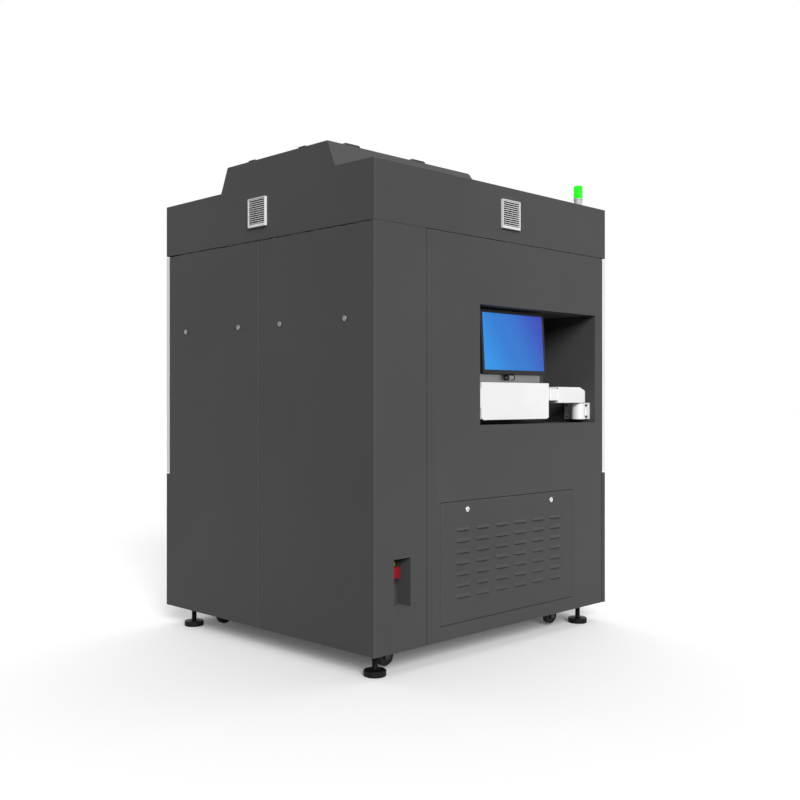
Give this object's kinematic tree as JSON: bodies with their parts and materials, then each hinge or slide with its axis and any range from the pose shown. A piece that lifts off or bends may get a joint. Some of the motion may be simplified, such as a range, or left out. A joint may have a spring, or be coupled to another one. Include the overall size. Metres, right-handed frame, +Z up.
{
  "type": "resin printer",
  "caption": "Free-standing cabinet resin printer with a swing-out console in a side recess, a louvred vent panel, a signal tower, levelling feet and casters.",
  "frame": {"origin": "centre of the whole part's box, on the floor below the feet", "axes": "+Z up, -Y to the front door, +Y to the rear panels, -X to the console side"},
  "size_m": [1.373, 1.465, 1.981],
  "materials": {
    "cabinet_grey": "fine-textured dark grey powder coat",
    "cabinet_white": "smooth white powder coat",
    "grille_white": "moulded white plastic",
    "frame_steel": "grey primer",
    "fan_black": "moulded",
    "window_amber": "amber acrylic",
    "isolator_yellow": "moulded",
    "isolator_red": "moulded",
    "console_white": "white powder coat",
    "screw_steel": "black-zinc",
    "monitor_black": "fine grain",
    "monitor_glass": "lit screen with a plain blue gradient",
    "vat_steel": "brushed",
    "rail_steel": "ground",
    "motor_black": "satin",
    "machined_aluminium": "machined",
    "tower_grey": "moulded",
    "tower_green": "lit translucent lens",
    "lock_chrome": "polished",
    "zinc_plated": "dull zinc plate",
    "foot_black": "glass-filled nylon",
    "caster_steel": "black zinc",
    "caster_rubber": "moulded"
  },
  "bodies": {
    "cabinet": {"corner_panel": "cabinet_grey", "console_panel": "cabinet_grey", "console_recess": "cabinet_grey", "vent_panel": "cabinet_grey", "rear_panel_right": "cabinet_grey", "rear_panel_left": "cabinet_grey", "side_cover_lower": "cabinet_grey", "front_lower_cover": "cabinet_grey", "hood_shell": "cabinet_grey", "raised_cover": "cabinet_grey", "side_cover_upper": "cabinet_white", "front_upper_cover": "cabinet_white", "vent_grilles": "grille_white", "base_frame": "frame_steel", "upright_frame": "frame_steel", "z_column": "frame_steel", "control_cabinet": "frame_steel", "isolator_plate": "isolator_yellow", "arm_bracket": "console_white", "bracket_screws": "screw_steel", "resin_vat": "vat_steel", "linear_rails": "rail_steel", "z_motor": "motor_black", "optics_plate": "machined_aluminium", "laser_head": "machined_aluminium", "scanner_head": "machined_aluminium", "tower_light_base": "tower_grey", "tower_light_lens": "tower_green"},
    "rear_fan": {"rear_fan": "fan_black"},
    "side_fan": {"side_fan": "fan_black"},
    "rear_lock_1": {"rear_lock_1": "zinc_plated"},
    "rear_lock_2": {"rear_lock_2": "zinc_plated"},
    "rear_lock_3": {"rear_lock_3": "zinc_plated"},
    "rear_lock_4": {"rear_lock_4": "zinc_plated"},
    "vent_lock_1": {"vent_lock_1": "lock_chrome"},
    "vent_lock_2": {"vent_lock_2": "lock_chrome"},
    "isolator_handle": {"isolator_handle": "isolator_red"},
    "front_door": {"front_door": "cabinet_white", "door_window": "window_amber"},
    "console_arm": {"support_arm": "console_white", "console_bracket": "zinc_plated"},
    "keyboard_tray": {"keyboard_tray": "console_white"},
    "monitor": {"monitor_housing": "monitor_black", "monitor_screen": "monitor_glass"},
    "build_platform": {"z_carriage": "machined_aluminium", "build_platform": "machined_aluminium"},
    "ball_screw": {"ball_screw": "rail_steel"},
    "recoater": {"recoater": "machined_aluminium"},
    "levelling_foot_1": {"levelling_foot_1": "foot_black"},
    "levelling_foot_2": {"levelling_foot_2": "foot_black"},
    "levelling_foot_3": {"levelling_foot_3": "foot_black"},
    "levelling_foot_4": {"levelling_foot_4": "foot_black"},
    "caster_fork_1": {"caster_fork_1": "caster_steel"},
    "caster_wheel_1": {"caster_wheel_1": "caster_rubber"},
    "caster_fork_2": {"caster_fork_2": "caster_steel"},
    "caster_wheel_2": {"caster_wheel_2": "caster_rubber"},
    "caster_fork_3": {"caster_fork_3": "caster_steel"},
    "caster_wheel_3": {"caster_wheel_3": "caster_rubber"},
    "caster_fork_4": {"caster_fork_4": "caster_steel"},
    "caster_wheel_4": {"caster_wheel_4": "caster_rubber"}
  },
  "joints": [
    {"name": "rear_fan_spin", "type": "hinge", "parent": "cabinet", "child": "rear_fan", "pos_m": [0.004, 0.7205, 1.759], "axis": [0, 1, 0], "continuous": true},
    {"name": "side_fan_spin", "type": "hinge", "parent": "cabinet", "child": "side_fan", "pos_m": [-0.6745, -0.0425, 1.759], "axis": [-1, 0, 0], "continuous": true},
    {"name": "rear_lock_1_turn", "type": "hinge", "parent": "cabinet", "child": "rear_lock_1", "pos_m": [-0.5185, 0.7205, 1.3025], "axis": [0, 1, 0], "range_deg": [0, 90]},
    {"name": "rear_lock_2_turn", "type": "hinge", "parent": "cabinet", "child": "rear_lock_2", "pos_m": [-0.1355, 0.7205, 1.3025], "axis": [0, 1, 0], "range_deg": [0, 90]},
    {"name": "rear_lock_3_turn", "type": "hinge", "parent": "cabinet", "child": "rear_lock_3", "pos_m": [0.1385, 0.7205, 1.3025], "axis": [0, 1, 0], "range_deg": [0, 90]},
    {"name": "rear_lock_4_turn", "type": "hinge", "parent": "cabinet", "child": "rear_lock_4", "pos_m": [0.5265, 0.7205, 1.3025], "axis": [0, 1, 0], "range_deg": [0, 90]},
    {"name": "vent_lock_1_turn", "type": "hinge", "parent": "cabinet", "child": "vent_lock_1", "pos_m": [-0.6745, 0.221, 0.578], "axis": [-1, 0, 0], "range_deg": [0, 90]},
    {"name": "vent_lock_2_turn", "type": "hinge", "parent": "cabinet", "child": "vent_lock_2", "pos_m": [-0.6745, -0.3195, 0.578], "axis": [-1, 0, 0], "range_deg": [0, 90]},
    {"name": "isolator_turn", "type": "hinge", "parent": "cabinet", "child": "isolator_handle", "pos_m": [-0.5995, 0.5795, 0.368], "axis": [-1, 0, 0], "range_deg": [0, 90]},
    {"name": "door_swing", "type": "hinge", "parent": "cabinet", "child": "front_door", "pos_m": [0.4735, -0.7245, 0.764], "axis": [0, 0, 1], "range_deg": [0, 100]},
    {"name": "console_swing", "type": "hinge", "parent": "cabinet", "child": "console_arm", "pos_m": [-0.6125, -0.6095, 0.991], "axis": [0, 0, 1], "range_deg": [0, 90]},
    {"name": "tray_fold", "type": "hinge", "parent": "console_arm", "child": "keyboard_tray", "pos_m": [-0.6225, -0.1355, 0.933], "axis": [0, -1, 0], "range_deg": [0, 90]},
    {"name": "monitor_tilt", "type": "hinge", "parent": "console_arm", "child": "monitor", "pos_m": [-0.6225, -0.106, 1.097], "axis": [0, 1, 0], "range_deg": [-5, 12]},
    {"name": "platform_lift", "type": "slide", "parent": "cabinet", "child": "build_platform", "axis": [0, 0, -1], "range_m": [0, 0.4]},
    {"name": "ball_screw_spin", "type": "hinge", "parent": "cabinet", "child": "ball_screw", "pos_m": [0.1395, 0.1635, 0.204], "axis": [0, 0, -1], "continuous": true},
    {"name": "recoater_sweep", "type": "slide", "parent": "cabinet", "child": "recoater", "axis": [0, -1, 0], "range_m": [0, 0.58]},
    {"name": "levelling_foot_1_turn", "type": "hinge", "parent": "cabinet", "child": "levelling_foot_1", "pos_m": [-0.6125, 0.6585, 0], "axis": [0, 0, 1], "continuous": true},
    {"name": "levelling_foot_2_turn", "type": "hinge", "parent": "cabinet", "child": "levelling_foot_2", "pos_m": [-0.6125, -0.6035, 0], "axis": [0, 0, 1], "continuous": true},
    {"name": "levelling_foot_3_turn", "type": "hinge", "parent": "cabinet", "child": "levelling_foot_3", "pos_m": [0.5575, 0.6585, 0], "axis": [0, 0, 1], "continuous": true},
    {"name": "levelling_foot_4_turn", "type": "hinge", "parent": "cabinet", "child": "levelling_foot_4", "pos_m": [0.5575, -0.6035, 0], "axis": [0, 0, 1], "continuous": true},
    {"name": "caster_1_swivel", "type": "hinge", "parent": "cabinet", "child": "caster_fork_1", "pos_m": [-0.5625, 0.5305, 0.116], "axis": [0, 0, 1], "continuous": true},
    {"name": "caster_1_roll", "type": "hinge", "parent": "caster_fork_1", "child": "caster_wheel_1", "pos_m": [-0.5625, 0.5625, 0.0475], "axis": [1, 0, 0], "continuous": true},
    {"name": "caster_2_swivel", "type": "hinge", "parent": "cabinet", "child": "caster_fork_2", "pos_m": [-0.5625, -0.4925, 0.116], "axis": [0, 0, 1], "continuous": true},
    {"name": "caster_2_roll", "type": "hinge", "parent": "caster_fork_2", "child": "caster_wheel_2", "pos_m": [-0.5625, -0.4605, 0.0475], "axis": [1, 0, 0], "continuous": true},
    {"name": "caster_3_swivel", "type": "hinge", "parent": "cabinet", "child": "caster_fork_3", "pos_m": [0.4655, 0.5305, 0.116], "axis": [0, 0, 1], "continuous": true},
    {"name": "caster_3_roll", "type": "hinge", "parent": "caster_fork_3", "child": "caster_wheel_3", "pos_m": [0.4655, 0.5625, 0.0475], "axis": [1, 0, 0], "continuous": true},
    {"name": "caster_4_swivel", "type": "hinge", "parent": "cabinet", "child": "caster_fork_4", "pos_m": [0.4655, -0.4925, 0.116], "axis": [0, 0, 1], "continuous": true},
    {"name": "caster_4_roll", "type": "hinge", "parent": "caster_fork_4", "child": "caster_wheel_4", "pos_m": [0.4655, -0.4605, 0.0475], "axis": [1, 0, 0], "continuous": true}
  ],
  "couplings": [
    {"joint": "ball_screw_spin", "follows": "platform_lift", "rad_per_m": 628.32}
  ]
}
